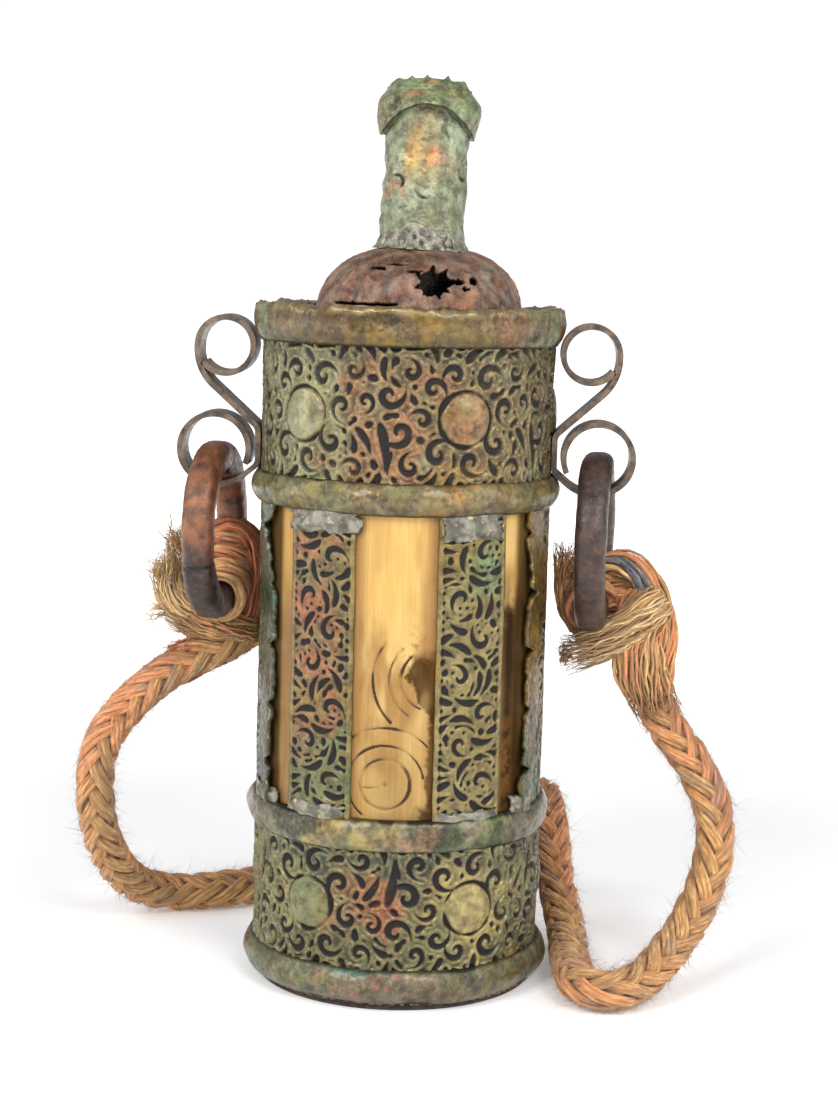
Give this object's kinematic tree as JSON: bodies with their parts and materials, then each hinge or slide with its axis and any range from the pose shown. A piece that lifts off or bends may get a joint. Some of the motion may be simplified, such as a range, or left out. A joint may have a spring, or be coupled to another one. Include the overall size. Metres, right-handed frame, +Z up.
{
  "type": "carrying flask",
  "caption": "Cylindrical carrying flask of bone staves bound in embossed brass, with a capped neck, ring lugs and a plaited rope strap.",
  "frame": {"origin": "centre of the base, on the floor it stands on", "axes": "+Z up along the body towards the neck, -Y towards the front, +X towards the lug on the right as seen from the front"},
  "size_m": [0.135, 0.0922, 0.1777],
  "materials": {
    "foot_wood": "dark, worn",
    "core_wood": "turned, unfinished",
    "cork": "cork",
    "bone": "aged ivory-yellow bone, polished by handling, brown stains",
    "patinated_brass": "embossed, verdigris over brown brass",
    "moulding_brass": "half-round, grey-green patina with bright rubs",
    "rusty_iron": "raised sheet, rust brown and pierced",
    "strip_iron": "flat strip, dark brown",
    "ring_iron": "forged, dark brown rust",
    "solder": "dull grey solder",
    "jute": "plaited jute, fuzzy"
  },
  "bodies": {
    "flask": {"base_disc": "foot_wood", "base_ring": "moulding_brass", "bone_stave_back": "bone", "bone_stave_back_left": "bone", "bone_stave_back_right": "bone", "bone_stave_front": "bone", "bone_stave_front_left": "bone", "bone_stave_front_right": "bone", "bone_stave_left": "bone", "bone_stave_right": "bone", "core_lid": "core_wood", "core_tube": "core_wood", "dome": "rusty_iron", "lower_band": "patinated_brass", "lower_belt": "moulding_brass", "lug_left": "strip_iron", "lug_right": "strip_iron", "neck_fillet": "solder", "neck_tube": "patinated_brass", "rim_hoop": "moulding_brass", "rope_strap": "jute", "side_plate_left": "patinated_brass", "side_plate_right": "patinated_brass", "strap_back_left": "patinated_brass", "strap_back_right": "patinated_brass", "strap_front_left": "patinated_brass", "strap_front_right": "patinated_brass", "upper_band": "patinated_brass", "upper_belt": "moulding_brass"},
    "cap": {"cap": "patinated_brass", "stopper": "cork"},
    "left_ring": {"ring_left": "ring_iron", "hitch_left": "jute"},
    "right_ring": {"ring_right": "ring_iron", "hitch_right": "jute"}
  },
  "joints": [
    {"name": "cap_lift", "type": "slide", "parent": "flask", "child": "cap", "axis": [0.0297, 0, 0.9996], "range_m": [0, 0.03]},
    {"name": "left_ring_swing", "type": "hinge", "parent": "flask", "child": "left_ring", "pos_m": [-0.0376, 0, 0.1026], "axis": [0.0958, 0.9954, 0], "range_deg": [-4, 140]},
    {"name": "right_ring_swing", "type": "hinge", "parent": "flask", "child": "right_ring", "pos_m": [0.0376, 0, 0.1026], "axis": [-0.0958, -0.9954, 0], "range_deg": [-4, 140]}
  ]
}
